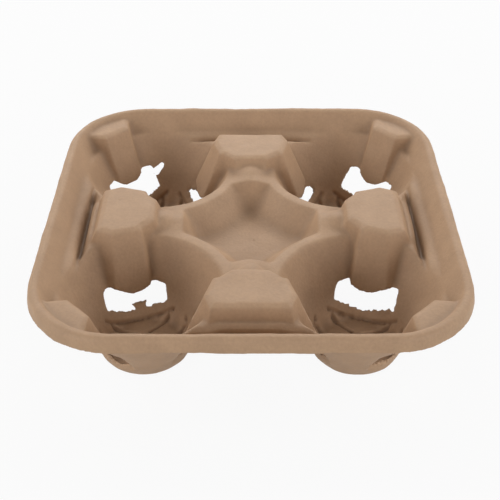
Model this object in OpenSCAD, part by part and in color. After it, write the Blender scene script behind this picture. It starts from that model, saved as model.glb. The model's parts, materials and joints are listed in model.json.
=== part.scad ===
// Four-cup carrier moulded in one piece from paper pulp.
// A shell of even thickness: a rolled rim and skirt, a deck, four tapered cup wells on
// round feet, four hollow posts and four corner ribs whose fingers grip the cups, a
// four-pointed centre pocket, and a groove along each side.
// The origin is on the table under the middle of the carrier, and each side is alike.

/* [Tray] */
// Overall width and depth across the lower edge of the skirt
tray_w = 216; // [210:1:236]
// Overall height from the feet to the crest of the rim
tray_h = 54; // [51:0.5:60]
// Thickness of the moulded pulp
pulp_t = 2.2; // [1.6:0.1:2.5]
// Outer corner radius at the lower edge of the skirt
corner_r = 45; // [40:1:52]
// Depth of the deck below the crest of the rim
deck_drop = 11.8; // [10:0.2:14]

/* [Rim] */
// Outer radius of the rolled crest
crest_r = 2.9; // [2.7:0.1:3.6]
// Height of the skirt from the crest to its lower edge
skirt_h = 8; // [6:0.5:11]
// Outward flare of the skirt
skirt_flare = 0.8; // [0:0.1:2]
// Draft of the wall inside the rim, from vertical
rim_draft = 32; // [28:1:34]

/* [Cup wells] */
// Distance between the centres of neighbouring cups
cup_pitch = 108.6; // [106:0.2:110]
// Radius of a well at the deck
well_r = 41; // [39:0.2:42]
// Radius of a well at its floor
foot_r = 19.9; // [17:0.1:23]
// Radius of the bend between the floor and the wall of a well
foot_bend_r = 4; // [2:0.5:6]
// Radius of the rounded mouth of a well
mouth_r = 2.5; // [1:0.5:3]

/* [Posts] */
// Depth of the flat top of a post below the crest of the rim
post_drop = 3.2; // [2:0.2:6]
// Reach of a post's top towards the middle, past the line across two neighbouring cups
post_reach = 2.1; // [0.5:0.1:4]
// Distance from the centre of a cup to the top of a post's finger face
finger_r = 36; // [34.5:0.1:37.5]
// Width of a finger face at the top of its post
finger_w = 14.5; // [12:0.5:17]
// Stand of a finger in front of its post's flank, at the top
finger_stand = 2; // [1.6:0.1:3]
// Draft of a finger face, from vertical
finger_draft = 22; // [19:0.5:24]
// Turn of a finger face away from the line across two neighbouring cups
finger_turn = 17; // [14:1:20]
// Draft of the outer face of a post
post_out_draft = 26; // [16:1:30]
// Radius of the curve of the hump at the inner end of a post
hump_r = 19.5; // [16:0.5:22]
// Depth of the crown of the hump below the top of its post
hump_drop = 5.2; // [4.4:0.2:6]

/* [Corner ribs] */
// Depth of the shelf on a corner rib below the crest of the rim
rib_drop = 3; // [2.4:0.2:6]
// Distance from the centre of a cup to the top of a rib's finger face
rib_r = 38; // [36.5:0.1:39.5]
// Width of a rib's finger face at its top
rib_w = 17; // [13:0.5:21]
// Draft of a rib's finger face
rib_draft = 20; // [17:0.5:22]

/* [Centre pocket] */
// Depth of the pocket's floor below the deck
pocket_depth = 14; // [10:0.2:17]
// Distance from the inner end of a post's top to the edge of a pocket tip
pocket_gap = 15.5; // [13:0.1:18]
// Run of the slope at a pocket tip
tip_run = 7.7; // [4:0.1:11]
// Width of the ridge between a well and the pocket
ridge_w = 5.6; // [4.4:0.2:7]
// Radius of the rounded edge of the pocket
ridge_edge_r = 2; // [1:0.5:2.5]
// Slope of the pocket's curved walls, from vertical
pocket_draft = 42; // [36:1:46]

/* [Side grooves] */
// Width of the ledge between the wall inside the rim and a side groove
ledge_w = 4.1; // [3:0.1:6]
// Width of a side groove at the deck
groove_w = 6.4; // [5:0.2:8]
// Width of the floor of a side groove
groove_floor_w = 1; // [0.6:0.1:1.6]
// Length of a side groove
groove_len = 78; // [66:1:90]
// Depth of a side groove below the deck
groove_depth = 4; // [3:0.2:5]
// Width of the lip between a side groove and the outer face of a post
lip_w = 0.6; // [0.2:0.1:2]

/* [Relief holes] */
// Distance from the centre of a cup to the middle of a hole's inner edge
hole_r = 22.8; // [22:0.1:24]
// Radius of the curve of a hole's inner edge
hole_edge_r = 47; // [38:1:70]
// Width of a hole
hole_w = 33; // [28:0.5:36]
// Gap in plan from a hole's inner edge to the tip of a post's finger
post_tip_gap = 0.15; // [0.1:0.05:1.5]
// Gap in plan from a hole's inner edge to the tip of a rib's finger
rib_tip_gap = 3.55; // [2.5:0.05:4.5]
// Rise of a hole's upper edge above the tip of a post's finger
post_hole_rise = 3.4; // [3:0.2:6]
// Rise of a hole's upper edge above the tip of a rib's finger
rib_hole_rise = 5; // [3:0.2:7]
// Width of a finger at its tip
tip_w = 14; // [10:0.5:15.5]
// Radius of the curve of a finger's tip
tip_r = 12; // [10:0.5:16]
// Width of a finger where it leaves the upper edge of its hole
finger_root_w = 23; // [19:0.5:27]

/* [Creases] */
// Depth of a crease
crease_d = 1.1; // [0.4:0.1:1.3]
// Width of the crease pressed beside each hole
crease_w = 1.4; // [0.8:0.1:2]
// Radius of the curve of a crease
crease_r = 41; // [36:1:50]
// Distance from a hole's inner edge to its crease
crease_gap = 2.4; // [1.6:0.1:4]
// Length of a crease across its hole
crease_len = 38; // [30:1:42]
// Width of the creases that run down between the holes to the foot
spoke_w = 2.2; // [1:0.1:3]
// Distance between the two creases that run down between two holes
spoke_gap = 12; // [8:0.5:14]
// Distance from the centre of a cup to the lower end of such a crease
spoke_in = 6.5; // [4:0.5:10]
// Length of such a crease in plan
spoke_len = 15; // [9:0.5:16]

/* [Hidden] */
$fn = 96;
pulp_colour = "#b39474";
// Overrun of every cut past the surface that it opens
over = 1;
// Draft of a finger's cheek and of the flanks, the sides and the inner face of a post
cheek_draft = 12;
flank_draft = 12;
side_draft = 21;
inner_draft = 25;
// Draft of the flanks of a corner rib
rib_flank_draft = 13;
// Draft of the outer wall of a side groove
groove_wall_draft = 8;
// Bevel along the top edges of posts and ribs
bevel_w = 2;
bevel_h = 1.4;
// Turn of a finger's cheek from its face
cheek_turn = 65;
// Turn of a post's sides outwards, and of its flanks inwards, from straight across it
side_turn = 22;
flank_turn = 48;
// Turn of a rib's flanks from its finger face
rib_flank_turn = 51;
// Depth of the curve of a finger's tip that is left flat
tip_flat = 0.4;
// Steps along an arc of a section
arc_steps = 8;

sides = [0 : 90 : 270];
half_pitch = cup_pitch / 2;
deck_z = tray_h - deck_drop;
post_z = tray_h - post_drop;
rib_z = tray_h - rib_drop;
hump_z = post_z - hump_drop;
pocket_z = deck_z - pocket_depth;
post_in = half_pitch - post_reach;
pocket_tip = post_in - pocket_gap;
// Fingers end where their sloped faces come down to the holes
post_tip_z = post_z - (finger_r - hole_r - post_tip_gap) / tan(finger_draft);
rib_tip_z = rib_z - (rib_r - hole_r - rib_tip_gap) / tan(rib_draft);

// The section of the rim is drawn from the centre of a corner's curve
corner_at = tray_w / 2 - corner_r;
crest_mid = corner_r - skirt_flare - crest_r;
crest_z = tray_h - crest_r;
wall_top = crest_mid - crest_r * cos(rim_draft);
wall_top_z = crest_z + crest_r * sin(rim_draft);
function wall_at(z) = wall_top - (wall_top_z - z) * tan(rim_draft);
wall_skin = pulp_t / cos(rim_draft);

// Side grooves and the outer faces of posts follow the foot of the wall inside the rim
groove_out = corner_at + wall_at(deck_z) - ledge_w;
groove_in = groove_out - groove_w;
post_out = groove_in - lip_w;

// The wells are cones about the cups
well_draft = atan((well_r - foot_r) / (deck_z - pulp_t));
function well_at(z) = well_r - (deck_z - z) * tan(well_draft);
// A skin's top lies within the deck
skin_top_z = deck_z - pulp_t / 2;

// From the direction of a corner to that of a post's finger, about a cup
finger_angle = 135 - finger_turn;
// Distance from the centre of a cup to the centre of its corner's curve
corner_from_cup = (corner_at - half_pitch) * sqrt(2);

// Points on an arc about a centre, from one angle to another
function arc(centre, r, from, to) = [
    for (i = [0 : arc_steps])
        let (a = from + (to - from) * i / arc_steps)
        centre + r * [cos(a), sin(a)]
];

// Crossing of two lines, each given by the direction it faces and its distance
function crossing(a, da, b, db) =
    [da * sin(b) - db * sin(a), db * cos(a) - da * cos(b)] / sin(b - a);

// A facet is [direction it faces, distance at the reference height, draft]
function facet_at(f, rise, skin) = f[1] - rise * tan(f[2]) - skin / cos(f[2]);

// Corners of a drafted block at a height above its reference height
function ring(facets, z_ref, z, skin) = [
    for (i = [0 : len(facets) - 1])
        let (f = facets[i])
        let (g = facets[(i + 1) % len(facets)])
        let (p = crossing(f[0], facet_at(f, z - z_ref, skin), g[0], facet_at(g, z - z_ref, skin)))
        [p[0], p[1], z]
];

// Block between drafted facets, sunk by a skin, with a bevelled top
module drafted_block(facets, z_low, z_high, skin) {
    n = len(facets);
    z_top = z_high - skin;
    z_edge = z_top - bevel_h;
    points = concat(
        ring(facets, z_high, z_low, skin),
        ring(facets, z_high, z_edge, skin),
        ring(facets, z_high, z_top, skin + bevel_w)
    );
    walls = [
        for (level = [0 : 1], i = [0 : n - 1])
            let (a = level * n + i)
            let (b = level * n + (i + 1) % n)
            [a, a + n, b + n, b]
    ];
    base = [for (i = [0 : n - 1]) i];
    top = [for (i = [n - 1 : -1 : 0]) 2 * n + i];
    polyhedron(points, concat(walls, [base, top]));
}

// Place children at each cup, turned so that their +Y points at its corner
module at_cups() {
    for (a = sides)
        rotate(a)
            translate([half_pitch, half_pitch])
                rotate(-45)
                    children();
}

// Section through the skirt, the rolled crest and the wall inside the rim
module rim_section() {
    crest = [crest_mid, crest_z];
    wall_angle = 180 - rim_draft;
    foot_z = deck_z - pulp_t;
    skirt_z = tray_h - skirt_h;
    polygon(concat(
        [[corner_r, skirt_z]],
        arc(crest, crest_r, 0, wall_angle),
        [[wall_at(deck_z), deck_z], [wall_at(foot_z) + wall_skin, foot_z]],
        arc(crest, crest_r - pulp_t, wall_angle, 0),
        [[corner_r - pulp_t, skirt_z]]
    ));
}

// Rolled rim, swept along the sides and round the corners
module rim() {
    for (a = sides)
        rotate(a)
            translate([corner_at, corner_at]) {
                rotate_extrude(angle = 90)
                    rim_section();
                rotate([90, 0, 0])
                    linear_extrude(2 * corner_at)
                        rim_section();
            }
}

// Flat plate between the wells, out to the wall inside the rim
module deck() {
    corner = wall_at(deck_z) + pulp_t / 2;
    inner_w = 2 * corner_at;
    translate([0, 0, deck_z - pulp_t])
        linear_extrude(pulp_t) {
            square([inner_w + 2 * corner, inner_w], center = true);
            square([inner_w, inner_w + 2 * corner], center = true);
            for (a = sides)
                rotate(a)
                    translate([corner_at, corner_at])
                        circle(corner);
        }
}

// Cup well grown by a skin; the bare well is open above and has a rounded mouth
module well(skin = 0) {
    bend_z = pulp_t + foot_bend_r;
    bend = [well_at(bend_z) - foot_bend_r / cos(well_draft), bend_z];
    mouth_z = deck_z - mouth_r;
    mouth = [well_at(mouth_z) + mouth_r / cos(well_draft), mouth_z];
    open_top = concat(
        arc(mouth, mouth_r, 180 - well_draft, 90),
        [[mouth[0], deck_z + over], [0, deck_z + over]]
    );
    closed_top = [
        [well_at(skin_top_z) + skin / cos(well_draft), skin_top_z],
        [0, skin_top_z]
    ];
    rotate_extrude()
        polygon(concat(
            [[0, pulp_t - skin]],
            arc(bend, foot_bend_r + skin, -90, -well_draft),
            skin == 0 ? open_top : closed_top
        ));
}

// Hill about a cup, whose outer slope is one of the pocket's curved walls
module hill(skin) {
    top_r = well_r + ridge_w - skin / cos(pocket_draft);
    low_z = pocket_z - pulp_t - over;
    low_r = top_r + (deck_z - low_z) * tan(pocket_draft);
    top_z = deck_z + 2 * over;
    edge_z = deck_z - ridge_edge_r;
    edge_at = top_r + ridge_edge_r * tan(pocket_draft) - ridge_edge_r / cos(pocket_draft);
    rotate_extrude()
        polygon(concat(
            [[0, low_z], [low_r, low_z]],
            arc([edge_at, edge_z], ridge_edge_r, pocket_draft, 90),
            [[edge_at, top_z], [0, top_z]]
        ));
}

// Four-pointed centre pocket grown by a skin; the bare pocket is open above
module pocket(skin = 0) {
    tip_draft = atan(tip_run / pocket_depth);
    low_z = pocket_z - skin;
    top_z = skin == 0 ? deck_z + over : skin_top_z;
    low = pocket_tip - tip_run - skin * tan(tip_draft) + skin / cos(tip_draft);
    top = low + (top_z - low_z) * tan(tip_draft);
    difference() {
        translate([0, 0, low_z])
            rotate(45)
                cylinder(h = top_z - low_z, r1 = low * sqrt(2), r2 = top * sqrt(2), $fn = 4);
        at_cups() hill(skin);
    }
}

// Groove along each side, steep under the ledge and sloped from the post, grown by a skin
module grooves(skin = 0) {
    low_z = deck_z - groove_depth - skin;
    top_z = skin == 0 ? deck_z + over : skin_top_z;
    wall_run = groove_depth * tan(groove_wall_draft);
    slope_draft = atan((groove_w - groove_floor_w - wall_run) / groove_depth);
    function out_at(z) = groove_out - (deck_z - z) * tan(groove_wall_draft)
        + skin / cos(groove_wall_draft);
    function in_at(z) = groove_in + (deck_z - z) * tan(slope_draft) - skin / cos(slope_draft);
    for (a = sides)
        rotate(a)
            rotate([90, 0, 90])
                linear_extrude(groove_len + 2 * skin, center = true)
                    polygon([
                        [in_at(top_z), top_z],
                        [in_at(low_z), low_z],
                        [out_at(low_z), low_z],
                        [out_at(top_z), top_z]
                    ]);
}

// Posts midway along the sides, each with a finger that stands out towards its two cups
module posts(skin = 0) {
    function towards(p, angle) = p * [cos(angle), sin(angle)];
    out_top = post_out - (post_z - deck_z) * tan(post_out_draft);
    face_mid = [half_pitch, half_pitch] + finger_r * [-cos(finger_turn), sin(finger_turn)];
    face_half = finger_w / 2 * [sin(finger_turn), cos(finger_turn)];
    cheek = -cheek_turn - finger_turn;
    root = face_mid - face_half + finger_stand * [sin(cheek), -cos(cheek)];
    right = [
        [side_turn, towards(face_mid + face_half, side_turn), side_draft],
        [-finger_turn, towards(face_mid, -finger_turn), finger_draft],
        [cheek, towards(root, cheek), cheek_draft],
        [-flank_turn, towards(root, -flank_turn), flank_draft]
    ];
    facets = concat(
        [[90, out_top, post_out_draft]],
        [for (f = right) [180 - f[0], f[1], f[2]]],
        [[270, -post_in, inner_draft]],
        [for (i = [len(right) - 1 : -1 : 0]) right[i]]
    );
    low_z = post_tip_z - (skin == 0 ? 0 : over);
    for (a = sides)
        rotate(a)
            drafted_block(facets, low_z, post_z, skin);
}

// Low round hump from each post towards the pocket
module humps(skin = 0) {
    low_z = deck_z - (skin == 0 ? pulp_t / 2 : pulp_t + over);
    for (a = sides)
        rotate(a)
            translate([0, post_in, 0])
                intersection() {
                    translate([0, 0, hump_z - hump_r])
                        sphere(hump_r - skin);
                    translate([-hump_r, -hump_r, low_z])
                        cube([2 * hump_r, 2 * hump_r, post_z - low_z]);
                }
}

// Corner rib of each cup, with a shelf that reaches the wall inside the rim
module ribs(skin = 0) {
    flank_at = [rib_w / 2, rib_r] * [sin(rib_flank_turn), -cos(rib_flank_turn)];
    facets = [
        [90, corner_from_cup + corner_r, 0],
        [270 - rib_flank_turn, flank_at, rib_flank_draft],
        [270, -rib_r, rib_draft],
        [270 + rib_flank_turn, flank_at, rib_flank_draft]
    ];
    low_z = rib_tip_z - (skin == 0 ? 0 : over);
    wall_part = skin == 0 ? wall_skin / 2 : wall_skin + over;
    at_cups() intersection() {
        drafted_block(facets, low_z, rib_z, skin);
        translate([0, corner_from_cup, low_z])
            cylinder(h = rib_z - low_z, r1 = wall_at(low_z) + wall_part, r2 = wall_at(rib_z) + wall_part);
    }
}

module fingers(skin = 0) {
    posts(skin);
    humps(skin);
    ribs(skin);
}

// Room that fingers take up: all above the deck's underside, and the wells below it
module finger_room(skin) {
    low_z = deck_z - skin;
    translate([-tray_w / 2, -tray_w / 2, low_z])
        cube([tray_w, tray_w, tray_h - low_z]);
    at_cups() well(skin);
}

// Hole under one finger, along +Y from the centre of a cup, round the finger's tip
module hole(tip_z, rise) {
    top_z = tip_z + rise;
    reach = well_at(top_z) + pulp_t / cos(well_draft) + over;
    tip_angle = asin(tip_w / 2 / tip_r);
    tongue = concat(
        [[-finger_root_w / 2, top_z]],
        arc([0, tip_z - tip_flat + tip_r], tip_r, 270 - tip_angle, 270 + tip_angle),
        [[finger_root_w / 2, top_z]]
    );
    intersection() {
        translate([0, 0, -over])
            linear_extrude(top_z + 2 * over)
                difference() {
                    translate([-hole_w / 2, 0])
                        square([hole_w, reach]);
                    translate([0, hole_r - hole_edge_r])
                        circle(hole_edge_r);
                }
        translate([0, reach, 0])
            rotate([90, 0, 0])
                linear_extrude(reach)
                    difference() {
                        translate([-hole_w / 2, -over])
                            square([hole_w, top_z + over]);
                        polygon(tongue);
                    }
    }
}

module holes() {
    at_cups() {
        hole(rib_tip_z, rib_hole_rise);
        for (a = [-finger_angle, finger_angle])
            rotate(a)
                hole(post_tip_z, post_hole_rise);
    }
}

// Plan of the curved crease beside one hole's inner edge
module hole_crease() {
    intersection() {
        translate([0, hole_r - crease_gap - crease_r])
            difference() {
                circle(crease_r);
                circle(crease_r - crease_w);
            }
        translate([-crease_len / 2, 0])
            square([crease_len, hole_r]);
    }
}

// Plan of the pair of straight creases between two holes
module spoke_creases() {
    for (x = [-spoke_gap / 2, spoke_gap / 2])
        translate([x - spoke_w / 2, spoke_in])
            square([spoke_w, spoke_len]);
}

// Creases pressed into the wells
module creases() {
    at_cups() intersection() {
        well(crease_d);
        linear_extrude(deck_z) {
            for (a = [0, -finger_angle, finger_angle])
                rotate(a)
                    hole_crease();
            for (a = [-finger_angle / 2, finger_angle / 2, 180])
                rotate(a)
                    spoke_creases();
        }
    }
}

module cup_carrier() {
    color(pulp_colour) difference() {
        union() {
            difference() {
                union() {
                    deck();
                    at_cups() well(pulp_t);
                    pocket(pulp_t);
                    grooves(pulp_t);
                }
                at_cups() well();
                pocket();
                grooves();
                creases();
            }
            rim();
            intersection() {
                fingers();
                finger_room(pulp_t);
            }
        }
        intersection() {
            fingers(pulp_t);
            finger_room(pulp_t + over);
        }
        holes();
    }
}

cup_carrier();
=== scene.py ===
"""Looks of the moulded pulp cup carrier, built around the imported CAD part."""

import itertools
import json
import math

import bpy
import numpy as np
from mathutils import Euler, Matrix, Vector


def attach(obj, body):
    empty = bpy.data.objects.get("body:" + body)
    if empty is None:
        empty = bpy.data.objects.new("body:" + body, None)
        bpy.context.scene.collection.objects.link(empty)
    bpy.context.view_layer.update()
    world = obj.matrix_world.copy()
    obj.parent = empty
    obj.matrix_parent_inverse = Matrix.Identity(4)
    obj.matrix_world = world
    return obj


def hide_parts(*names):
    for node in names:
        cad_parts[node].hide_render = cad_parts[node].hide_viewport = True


NODE = "cup_carrier"
MM = 0.001

# Camera solved from the photograph
CAMERA_AT = Vector((-0.4, -409.9, 333.6)) * MM
CAMERA_TILT = 0.6491
CAMERA_LENS = 66.72
CAMERA_SENSOR = 36.0

# Sizes of the CAD part that the details follow
PULP = 2.2 * MM
FLOOR_Z = 2.2 * MM
FOOT_R = 19.9 * MM
DECK_Z = 42.2 * MM
WELL_R = 41.0 * MM
RIDGE_R = 46.6 * MM
POCKET_TIP = 36.7 * MM

# Mesh of the shell
WELD = 0.001 * MM
VOXEL = 0.7 * MM
MOST_TRIANGLES = 190_000

# Softening: steps, and share of the way to the neighbours' mean; less of it on edges and creases
SOFT_STEPS = 12
SOFT_SHARE = 0.5
EDGE_SOFTNESS = (0.5, 0.06)
CRISP_Z = (43 * MM, 49 * MM)
CREASE_SOFTNESS = 0.05
CREASE_TOP = 12 * MM
CREASE_STEPS = 16
CREASE_GAIN = 1.8
CREASE_FINISH = 3
POCKET_STEPS = 70

# Free edges are where the blurred normal is short, because both faces are near
EDGE_STEPS = 20
EDGE_LENGTHS = (0.55, 0.75)
HOLE_TOP = 30 * MM
SKIRT_RAGS = 0.5
RAGS = [(1.7 * MM, 0.5 * MM), (3.1 * MM, 0.7 * MM), (7.3 * MM, 0.8 * MM)]
RAG_SEED = 10

# Strips along the rim, each with its inner, outer and end fades: the grooves are sunk deeper, the
# ledges blend into the rim's wall, and the posts flare out at the foot
STRIP_Z = 34 * MM
GROOVE = {"inner": (87 * MM, 88.5 * MM), "outer": (90.6 * MM, 91.8 * MM), "end": (24 * MM, 31 * MM)}
GROOVE_RISE = -2.2 * MM
LEDGE = {"inner": (90.5 * MM, 92 * MM), "outer": (97 * MM, 99 * MM), "end": (40 * MM, 46 * MM)}
LEDGE_STEPS = 40
FLARE = {"inner": (83 * MM, 85.5 * MM), "outer": (87 * MM, 88.5 * MM), "end": (13 * MM, 21 * MM)}
FLARE_RISE = 1.8 * MM

# Crowns of the humps between the posts and the pocket: place, rise and radius
CROWN_AT = 41 * MM
CROWN_RISE = 3 * MM
CROWN_R = 9 * MM

# Painted shade in narrow hollows, darkening the colour where shade falls: steps of blur, and the
# depth below the blurred face at full share
HOLLOW_SHADE = "hollow"
HOLLOW_SHADE_STEPS = 40
HOLLOW_SHADE_DEPTH = 1.0 * MM
HOLLOW_SHADE_FADE = 6

# Unevenness of the pulp: (wavelength, height) of each layer, along the surface's normal
LUMPS = [(30 * MM, 0.4 * MM), (9 * MM, 0.2 * MM), (3.2 * MM, 0.1 * MM)]
LUMP_SEED = 1
LATTICE = 64

# Tears, as outlines and depths in mm on the wall of a well: across it, up its slope and inwards
SKIN = (-0.3, -1.8)
TAB = {
    "cup": "cup_front_left", "turn": 102.5, "height": 7.3 * MM, "depths": SKIN,
    "outline": [(-2.6, -2), (2.6, -2), (2.2, 1.4), (3.8, 4.4), (0.8, 3), (-0.6, 3.4), (-3.6, 2.6),
                (-2.2, 1)],
}
CRACK = {
    "cup": "cup_back_left", "turn": 93.5, "height": 23.7 * MM, "depths": (2, -5),
    "outline": [(-6, -2.5), (-3.2, -5.5), (5.2, 5.2)],
}
# Film of pulp left at the top of the holes, and again in the wells on the right
FILMS = [{
    "cup": "cup_front_left", "turn": 75, "height": 22 * MM, "depths": SKIN,
    "outline": [(-6, -0.5), (-2, -1.8), (1, -1), (4, -2.6), (7, -4.5), (8, 4), (-6, 5)],
}, {
    "cup": "cup_back_left", "turn": 50, "height": 19 * MM, "depths": SKIN,
    "outline": [(-4, -3.6), (-1, -4.6), (2.5, -4), (5, -5.2), (8, -4.4), (9, 5), (-4, 7)],
}]

# Colours, linear
PULP_LIGHT = (0.468, 0.301, 0.182, 1.0)
PULP_DARK = (0.399, 0.254, 0.153, 1.0)
# Painted shade: the colour that narrow hollows darken towards
PAINTED_HOLLOW_SHADE = (0.150, 0.085, 0.045, 1.0)
FLOOR_WHITE = (0.6, 0.6, 0.6, 1.0)
FLOOR_GLOW = 0.93
FLOOR_REACH = 4.0
WHITE = (1.0, 1.0, 1.0, 1.0)

# Face of the pulp: (scale, detail) of the noises, and what they drive
BLOTCHES = (90, 3)
FIBRES = (700, 4)
MOTTLE = (0.7, 1.3)
ROUGHNESS = (0.5, 0.7)
SPECULAR = 0.4
BUMP_STRENGTH = 0.35
BUMP_HEIGHT = 0.4 * MM

# Light: faint surroundings and a ring of soft boxes, as (turn, rise, energy), at one distance
WORLD_STRENGTH = 0.06
BOX_SIZE = 0.5
BOX_FAR = 1.1
BOXES = [(90, 35, 3.6), (45, 40, 2.8), (135, 40, 2.8), (0, 28, 2.6), (180, 28, 2.6),
         (225, 15, 3.7), (315, 15, 3.7), (270, 18, 0.9), (0, 90, 0.8)]


def evaluated_mesh(piece):
    """The mesh of a piece with its modifiers applied."""
    graph = bpy.context.evaluated_depsgraph_get()
    return bpy.data.meshes.new_from_object(piece.evaluated_get(graph))


def settle(piece):
    """Apply a piece's modifiers to its mesh."""
    mesh = evaluated_mesh(piece)
    piece.modifiers.clear()
    piece.data = mesh


def coordinates(mesh):
    co = np.empty(len(mesh.vertices) * 3)
    mesh.vertices.foreach_get("co", co)
    return co.reshape(-1, 3)


def edge_pairs(mesh):
    pairs = np.empty(len(mesh.edges) * 2, np.int64)
    mesh.edges.foreach_get("vertices", pairs)
    return pairs.reshape(-1, 2)


def vertex_normals(mesh):
    normals = np.empty(len(mesh.vertices) * 3)
    mesh.vertex_normals.foreach_get("vector", normals)
    return normals.reshape(-1, 3)


def put_coordinates(mesh, co):
    mesh.vertices.foreach_set("co", co.ravel())
    mesh.update()


def smoothstep(low, high, value):
    t = np.clip((value - low) / (high - low), 0.0, 1.0)
    return t * t * (3 - 2 * t)


def neighbour_mean(value, pairs):
    a, b = pairs.T
    count = len(value)
    neighbours = np.bincount(pairs.ravel(), minlength=count)
    columns = [np.bincount(a, c[b], count) + np.bincount(b, c[a], count) for c in value.T]
    return np.stack(columns, axis=1) / neighbours[:, None]


def noise_at(co, wavelength, seed):
    """Smooth noise from -1 to 1 at each point, from a seeded lattice."""
    lattice = np.random.default_rng(seed).uniform(-1, 1, (LATTICE,) * 3)
    cell = co / wavelength
    low = np.floor(cell).astype(int)
    t = smoothstep(0, 1, cell - low)
    total = np.zeros(len(co))
    for corner in itertools.product((0, 1), repeat=3):
        i, j, k = ((low + corner) % LATTICE).T
        total += lattice[i, j, k] * np.prod(np.where(corner, t, 1 - t), axis=1)
    return total


def noise_layers(co, layers, seed):
    return sum(rise * noise_at(co, wavelength, seed + i)
               for i, (wavelength, rise) in enumerate(layers))


def cup_centres():
    mounts = frame["record"]["mounts"]
    return {m["name"]: Vector(m["pos_m"]) for m in mounts if m["name"].startswith("cup_")}


def wall_frame(cup, turn, height):
    """A point on the wall of a well, and its directions across, up the slope and inwards."""
    run, rise = WELL_R - FOOT_R, DECK_Z - FLOOR_Z
    outward = Vector((math.cos(math.radians(turn)), math.sin(math.radians(turn)), 0))
    slope = (outward * run + Vector((0, 0, rise))).normalized()
    across = outward.cross(Vector((0, 0, 1)))
    radius = FOOT_R + (height - FLOOR_Z) * run / rise
    centre = cup_centres()[cup]
    at = Vector((centre.x, centre.y, height)) + outward * radius
    return at, across, slope, across.cross(slope)


def wall_prism(cup, turn, height, depths, outline):
    """Closed prism through the wall of a well, from its outline in mm."""
    at, across, slope, inward = wall_frame(cup, turn, height)
    points = [at + (x * across + y * slope + depth * inward) * MM
              for depth in depths for x, y in outline]
    n = len(outline)
    sides = [(i, n + i, n + (i + 1) % n, (i + 1) % n) for i in range(n)]
    mesh = bpy.data.meshes.new("tear")
    mesh.from_pydata(points, [], [tuple(range(n)), tuple(range(n, 2 * n))[::-1]] + sides)
    prism = bpy.data.objects.new("tear", mesh)
    bpy.context.scene.collection.objects.link(prism)
    return prism


def on_the_right(tear):
    """The same tear in the well on the right."""
    mirrored = [(-x, y) for x, y in reversed(tear["outline"])]
    cup = tear["cup"].replace("left", "right")
    return {**tear, "cup": cup, "turn": 180 - tear["turn"], "outline": mirrored}


def torn(shell):
    """Tear the shell as photographed: film and a tab left in the holes, and a crack from one."""
    films = FILMS + [on_the_right(film) for film in FILMS]
    for operation, tears in (("UNION", films + [TAB]), ("DIFFERENCE", [CRACK])):
        for tear in tears:
            prism = wall_prism(**tear)
            cut = shell.modifiers.new("tear", "BOOLEAN")
            cut.operation = operation
            cut.object = prism
            settle(shell)
            bpy.data.objects.remove(prism)


def from_cups(co):
    """Distance in plan from the axis of the nearest cup."""
    centres = cup_centres().values()
    return np.min([np.hypot(co[:, 0] - c.x, co[:, 1] - c.y) for c in centres], axis=0)


def creased(co):
    """Where the low part of a well has creases."""
    return (from_cups(co) < WELL_R) & (co[:, 2] < CREASE_TOP)


def in_strip(co, inner, outer, end):
    """Share of a strip along the rim at each point, 1 along its middle."""
    out, along = np.sort(np.abs(co[:, :2]), axis=1)[:, ::-1].T
    share = smoothstep(*inner, out) * (1 - smoothstep(*outer, out))
    return share * (1 - smoothstep(*end, along)) * (co[:, 2] > STRIP_Z)


def blurred(value, pairs, steps):
    for _ in range(steps):
        value = value + SOFT_SHARE * (neighbour_mean(value, pairs) - value)
    return value


def deepen_creases(mesh, pairs):
    co = coordinates(mesh)
    share = creased(co)[:, None]
    co += CREASE_GAIN * share * (co - blurred(co, pairs, CREASE_STEPS))
    put_coordinates(mesh, co + share * (blurred(co, pairs, CREASE_FINISH) - co))


def shape_strips(mesh, pairs):
    """Sink the grooves, flare the feet of the posts and blend the ledges."""
    co = coordinates(mesh)
    co[:, 2] += GROOVE_RISE * in_strip(co, **GROOVE) + FLARE_RISE * in_strip(co, **FLARE)
    ledge = SOFT_SHARE * in_strip(co, **LEDGE)[:, None]
    for _ in range(LEDGE_STEPS):
        co += ledge * (neighbour_mean(co, pairs) - co)
    put_coordinates(mesh, co)


def soften(mesh, pairs):
    """Round hollows broadly, high edges and the creases of the wells a little."""
    co = coordinates(mesh)
    hollow_softness = np.where(creased(co) | (in_strip(co, **GROOVE) > 0), CREASE_SOFTNESS, 1)
    low, high = EDGE_SOFTNESS
    edge_softness = low + (high - low) * smoothstep(*CRISP_Z, co[:, 2])
    for _ in range(SOFT_STEPS):
        co = coordinates(mesh)
        pull = neighbour_mean(co, pairs) - co
        hollow = (pull * vertex_normals(mesh)).sum(axis=1) > 0
        weight = np.where(hollow, hollow_softness, edge_softness)
        put_coordinates(mesh, co + SOFT_SHARE * weight[:, None] * pull)


def soften_pocket(mesh, pairs):
    """Blend the walls and the floor of the centre pocket into one bowl."""
    co = coordinates(mesh)
    from_middle = np.abs(co[:, :2]).max(axis=1)
    inside = smoothstep(RIDGE_R, RIDGE_R + 2 * PULP, from_cups(co))
    inside *= 1 - smoothstep(POCKET_TIP - 2 * PULP, POCKET_TIP, from_middle)
    for _ in range(POCKET_STEPS):
        co += SOFT_SHARE * inside[:, None] * (neighbour_mean(co, pairs) - co)
    put_coordinates(mesh, co)


def paint_hollow_shade(mesh, pairs):
    """Keep with the mesh how deep each point lies in a narrow hollow, as the share of painted shade
    there.
    """
    co = coordinates(mesh)
    depth = ((blurred(co, pairs, HOLLOW_SHADE_STEPS) - co) * vertex_normals(mesh)).sum(axis=1)
    share = blurred(np.clip(depth / HOLLOW_SHADE_DEPTH, 0, 1)[:, None], pairs, HOLLOW_SHADE_FADE)
    mesh.attributes.new(HOLLOW_SHADE, "FLOAT", "POINT").data.foreach_set("value", share.ravel())


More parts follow.
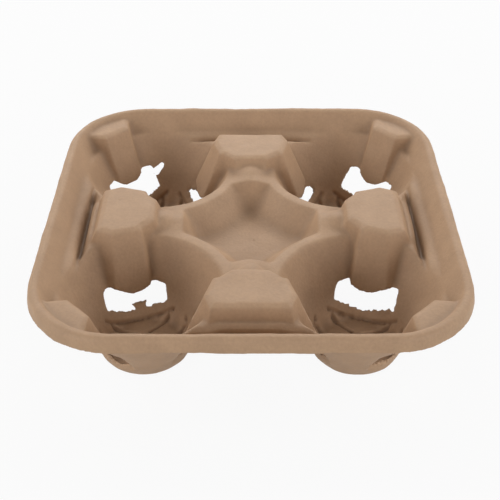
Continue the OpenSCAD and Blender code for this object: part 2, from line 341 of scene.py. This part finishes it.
def crown_humps(mesh):
    """Raise the middle of each hump, so that the pocket's rim runs in an arch below the post."""
    co = coordinates(mesh)
    humps = [(CROWN_AT, 0), (-CROWN_AT, 0), (0, CROWN_AT), (0, -CROWN_AT)]
    crowns = [np.exp(-((co[:, 0] - x) ** 2 + (co[:, 1] - y) ** 2) / CROWN_R ** 2) for x, y in humps]
    co[:, 2] += CROWN_RISE * np.sum(crowns, axis=0)
    put_coordinates(mesh, co)


def rag_edges(mesh, pairs):
    """Fray the free edges of the holes and, less, of the skirt."""
    outward = blurred(vertex_normals(mesh), pairs, EDGE_STEPS)
    length = np.linalg.norm(outward, axis=1)
    co = coordinates(mesh)
    share = 1 - smoothstep(*EDGE_LENGTHS, length)
    share *= np.where(co[:, 2] < HOLE_TOP, 1, SKIRT_RAGS)
    rag = share * noise_layers(co, RAGS, RAG_SEED) / np.maximum(length, EDGE_LENGTHS[0])
    put_coordinates(mesh, co + outward * rag[:, None])


def moulded_shell():
    """The CAD solid as pulp, with tears, soft forms, frayed edges and an uneven face."""
    shell = bpy.data.objects.new("pulp_shell", frame["nodes"][NODE].data.copy())
    bpy.context.scene.collection.objects.link(shell)
    weld = shell.modifiers.new("weld", "WELD")
    weld.merge_threshold = WELD
    settle(shell)
    torn(shell)
    remesh = shell.modifiers.new("remesh", "REMESH")
    remesh.mode = "VOXEL"
    remesh.voxel_size = VOXEL
    settle(shell)

    mesh = shell.data
    pairs = edge_pairs(mesh)
    soften(mesh, pairs)
    deepen_creases(mesh, pairs)
    shape_strips(mesh, pairs)
    soften_pocket(mesh, pairs)
    crown_humps(mesh)
    # Painted shade: how deep each point lies in a narrow hollow
    paint_hollow_shade(mesh, pairs)
    rag_edges(mesh, pairs)
    co = coordinates(mesh)
    co += vertex_normals(mesh) * noise_layers(co, LUMPS, LUMP_SEED)[:, None]
    co[:, 2] = np.maximum(co[:, 2], 0)
    put_coordinates(mesh, co)

    thin = shell.modifiers.new("thin", "DECIMATE")
    thin.ratio = MOST_TRIANGLES / sum(len(p.vertices) - 2 for p in mesh.polygons)
    settle(shell)
    shell.data.materials.clear()
    shell.data.materials.append(pulp_material())
    shell.data.shade_smooth()
    return shell


def new_material(name):
    material = bpy.data.materials.new(name)
    material.use_nodes = True
    tree = material.node_tree
    tree.nodes.clear()
    return material, tree.nodes, tree.links


def noise_node(nodes, links, where, scale, detail):
    texture = nodes.new("ShaderNodeTexNoise")
    texture.inputs["Scale"].default_value = scale
    texture.inputs["Detail"].default_value = detail
    links.new(where, texture.inputs["Vector"])
    return texture.outputs["Fac"]


def pulp_material():
    """Matte fibre pulp, mottled in colour and rough to the touch, with painted shade darkening its
    narrow hollows.
    """
    material, nodes, links = new_material("moulded_pulp")
    out = nodes.new("ShaderNodeOutputMaterial")
    shader = nodes.new("ShaderNodeBsdfPrincipled")
    links.new(shader.outputs["BSDF"], out.inputs["Surface"])
    where = nodes.new("ShaderNodeTexCoord").outputs["Object"]

    blotches = noise_node(nodes, links, where, *BLOTCHES)
    fibres = noise_node(nodes, links, where, *FIBRES)
    mottle = nodes.new("ShaderNodeMath")
    mottle.operation = "ADD"
    links.new(blotches, mottle.inputs[0])
    links.new(fibres, mottle.inputs[1])
    spread = nodes.new("ShaderNodeMapRange")
    spread.inputs["From Min"].default_value, spread.inputs["From Max"].default_value = MOTTLE
    links.new(mottle.outputs["Value"], spread.inputs["Value"])
    colour = nodes.new("ShaderNodeMix")
    colour.data_type = "RGBA"
    colour.inputs["A"].default_value = PULP_DARK
    colour.inputs["B"].default_value = PULP_LIGHT
    links.new(spread.outputs["Result"], colour.inputs["Factor"])
    # Painted shade: the colour darkens by the share kept for the narrow hollows
    hollow = nodes.new("ShaderNodeAttribute")
    hollow.attribute_name = HOLLOW_SHADE
    shade = nodes.new("ShaderNodeMix")
    shade.data_type = "RGBA"
    shade.inputs["B"].default_value = PAINTED_HOLLOW_SHADE
    links.new(hollow.outputs["Fac"], shade.inputs["Factor"])
    links.new(colour.outputs["Result"], shade.inputs["A"])
    links.new(shade.outputs["Result"], shader.inputs["Base Color"])

    matte = nodes.new("ShaderNodeMapRange")
    matte.inputs["To Min"].default_value, matte.inputs["To Max"].default_value = ROUGHNESS
    links.new(fibres, matte.inputs["Value"])
    links.new(matte.outputs["Result"], shader.inputs["Roughness"])
    shader.inputs["Specular IOR Level"].default_value = SPECULAR

    bump = nodes.new("ShaderNodeBump")
    bump.inputs["Strength"].default_value = BUMP_STRENGTH
    bump.inputs["Distance"].default_value = BUMP_HEIGHT
    links.new(mottle.outputs["Value"], bump.inputs["Height"])
    links.new(bump.outputs["Normal"], shader.inputs["Normal"])
    return material


def background_rays(nodes, links):
    """1 for a ray that sees the background: from the camera, or by way of gloss or glass."""
    path = nodes.new("ShaderNodeLightPath")
    seen = path.outputs["Is Camera Ray"]
    for kind in ("Is Glossy Ray", "Is Transmission Ray"):
        either = nodes.new("ShaderNodeMath")
        either.operation = "MAXIMUM"
        links.new(seen, either.inputs[0])
        links.new(path.outputs[kind], either.inputs[1])
        seen = either.outputs["Value"]
    return seen


def floor_material():
    """White table that keeps the carrier's shadow."""
    material, nodes, links = new_material("white_table")
    out = nodes.new("ShaderNodeOutputMaterial")
    shader = nodes.new("ShaderNodeBsdfDiffuse")
    shader.inputs["Color"].default_value = FLOOR_WHITE
    glow = nodes.new("ShaderNodeEmission")
    seen = nodes.new("ShaderNodeMath")
    seen.operation = "MULTIPLY"
    seen.inputs[1].default_value = FLOOR_GLOW
    links.new(background_rays(nodes, links), seen.inputs[0])
    mix = nodes.new("ShaderNodeMixShader")
    links.new(seen.outputs["Value"], mix.inputs["Fac"])
    links.new(shader.outputs["BSDF"], mix.inputs[1])
    links.new(glow.outputs["Emission"], mix.inputs[2])
    links.new(mix.outputs["Shader"], out.inputs["Surface"])
    return material


def stage():
    """Plain pale table top below the carrier."""
    signs = [(-1, -1), (1, -1), (1, 1), (-1, 1)]
    corners = [(x * FLOOR_REACH, y * FLOOR_REACH, 0) for x, y in signs]
    mesh = bpy.data.meshes.new("floor")
    mesh.from_pydata(corners, [], [(0, 1, 2, 3)])
    floor = bpy.data.objects.new("floor", mesh)
    bpy.context.scene.collection.objects.link(floor)
    mesh.materials.append(floor_material())


def studio():
    """White surroundings and a ring of soft boxes round the table."""
    world = bpy.data.worlds.new("studio")
    world.use_nodes = True
    nodes, links = world.node_tree.nodes, world.node_tree.links
    nodes.clear()
    out = nodes.new("ShaderNodeOutputWorld")
    light = nodes.new("ShaderNodeBackground")
    light.inputs["Strength"].default_value = WORLD_STRENGTH
    seen = nodes.new("ShaderNodeBackground")
    mix = nodes.new("ShaderNodeMixShader")
    links.new(background_rays(nodes, links), mix.inputs["Fac"])
    links.new(light.outputs["Background"], mix.inputs[1])
    links.new(seen.outputs["Background"], mix.inputs[2])
    links.new(mix.outputs["Shader"], out.inputs["Surface"])
    for node in (light, seen):
        node.inputs["Color"].default_value = WHITE
    bpy.context.scene.world = world

    for turn, rise, energy in BOXES:
        lamp = bpy.data.lights.new("soft_box", "AREA")
        lamp.shape = "SQUARE"
        lamp.size = BOX_SIZE
        lamp.energy = energy
        box = bpy.data.objects.new("soft_box", lamp)
        around = Euler((0, -math.radians(rise), math.radians(turn))).to_matrix()
        box.location = around @ Vector((BOX_FAR, 0, 0))
        box.rotation_euler = (-box.location).to_track_quat("-Z", "Y").to_euler()
        bpy.context.scene.collection.objects.link(box)


def camera():
    """Camera at the photograph's place and angle."""
    data = bpy.data.cameras.new("camera")
    data.lens = CAMERA_LENS
    data.sensor_width = CAMERA_SENSOR
    eye = bpy.data.objects.new("camera", data)
    eye.location = CAMERA_AT
    eye.rotation_euler = (math.pi / 2 - CAMERA_TILT, 0, 0)
    bpy.context.scene.collection.objects.link(eye)
    bpy.context.scene.camera = eye


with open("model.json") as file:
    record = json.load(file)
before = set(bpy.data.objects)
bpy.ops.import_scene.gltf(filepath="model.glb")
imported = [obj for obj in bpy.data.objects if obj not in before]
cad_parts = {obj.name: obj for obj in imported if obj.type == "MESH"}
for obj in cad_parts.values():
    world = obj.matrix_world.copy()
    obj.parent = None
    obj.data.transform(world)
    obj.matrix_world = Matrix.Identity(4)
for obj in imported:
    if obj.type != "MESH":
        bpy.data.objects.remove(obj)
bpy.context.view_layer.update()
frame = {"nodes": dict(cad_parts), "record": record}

camera()
studio()
stage()
carrier = moulded_shell()
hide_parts(NODE)
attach(carrier, "root")

bpy.context.scene.view_settings.view_transform = "Standard"
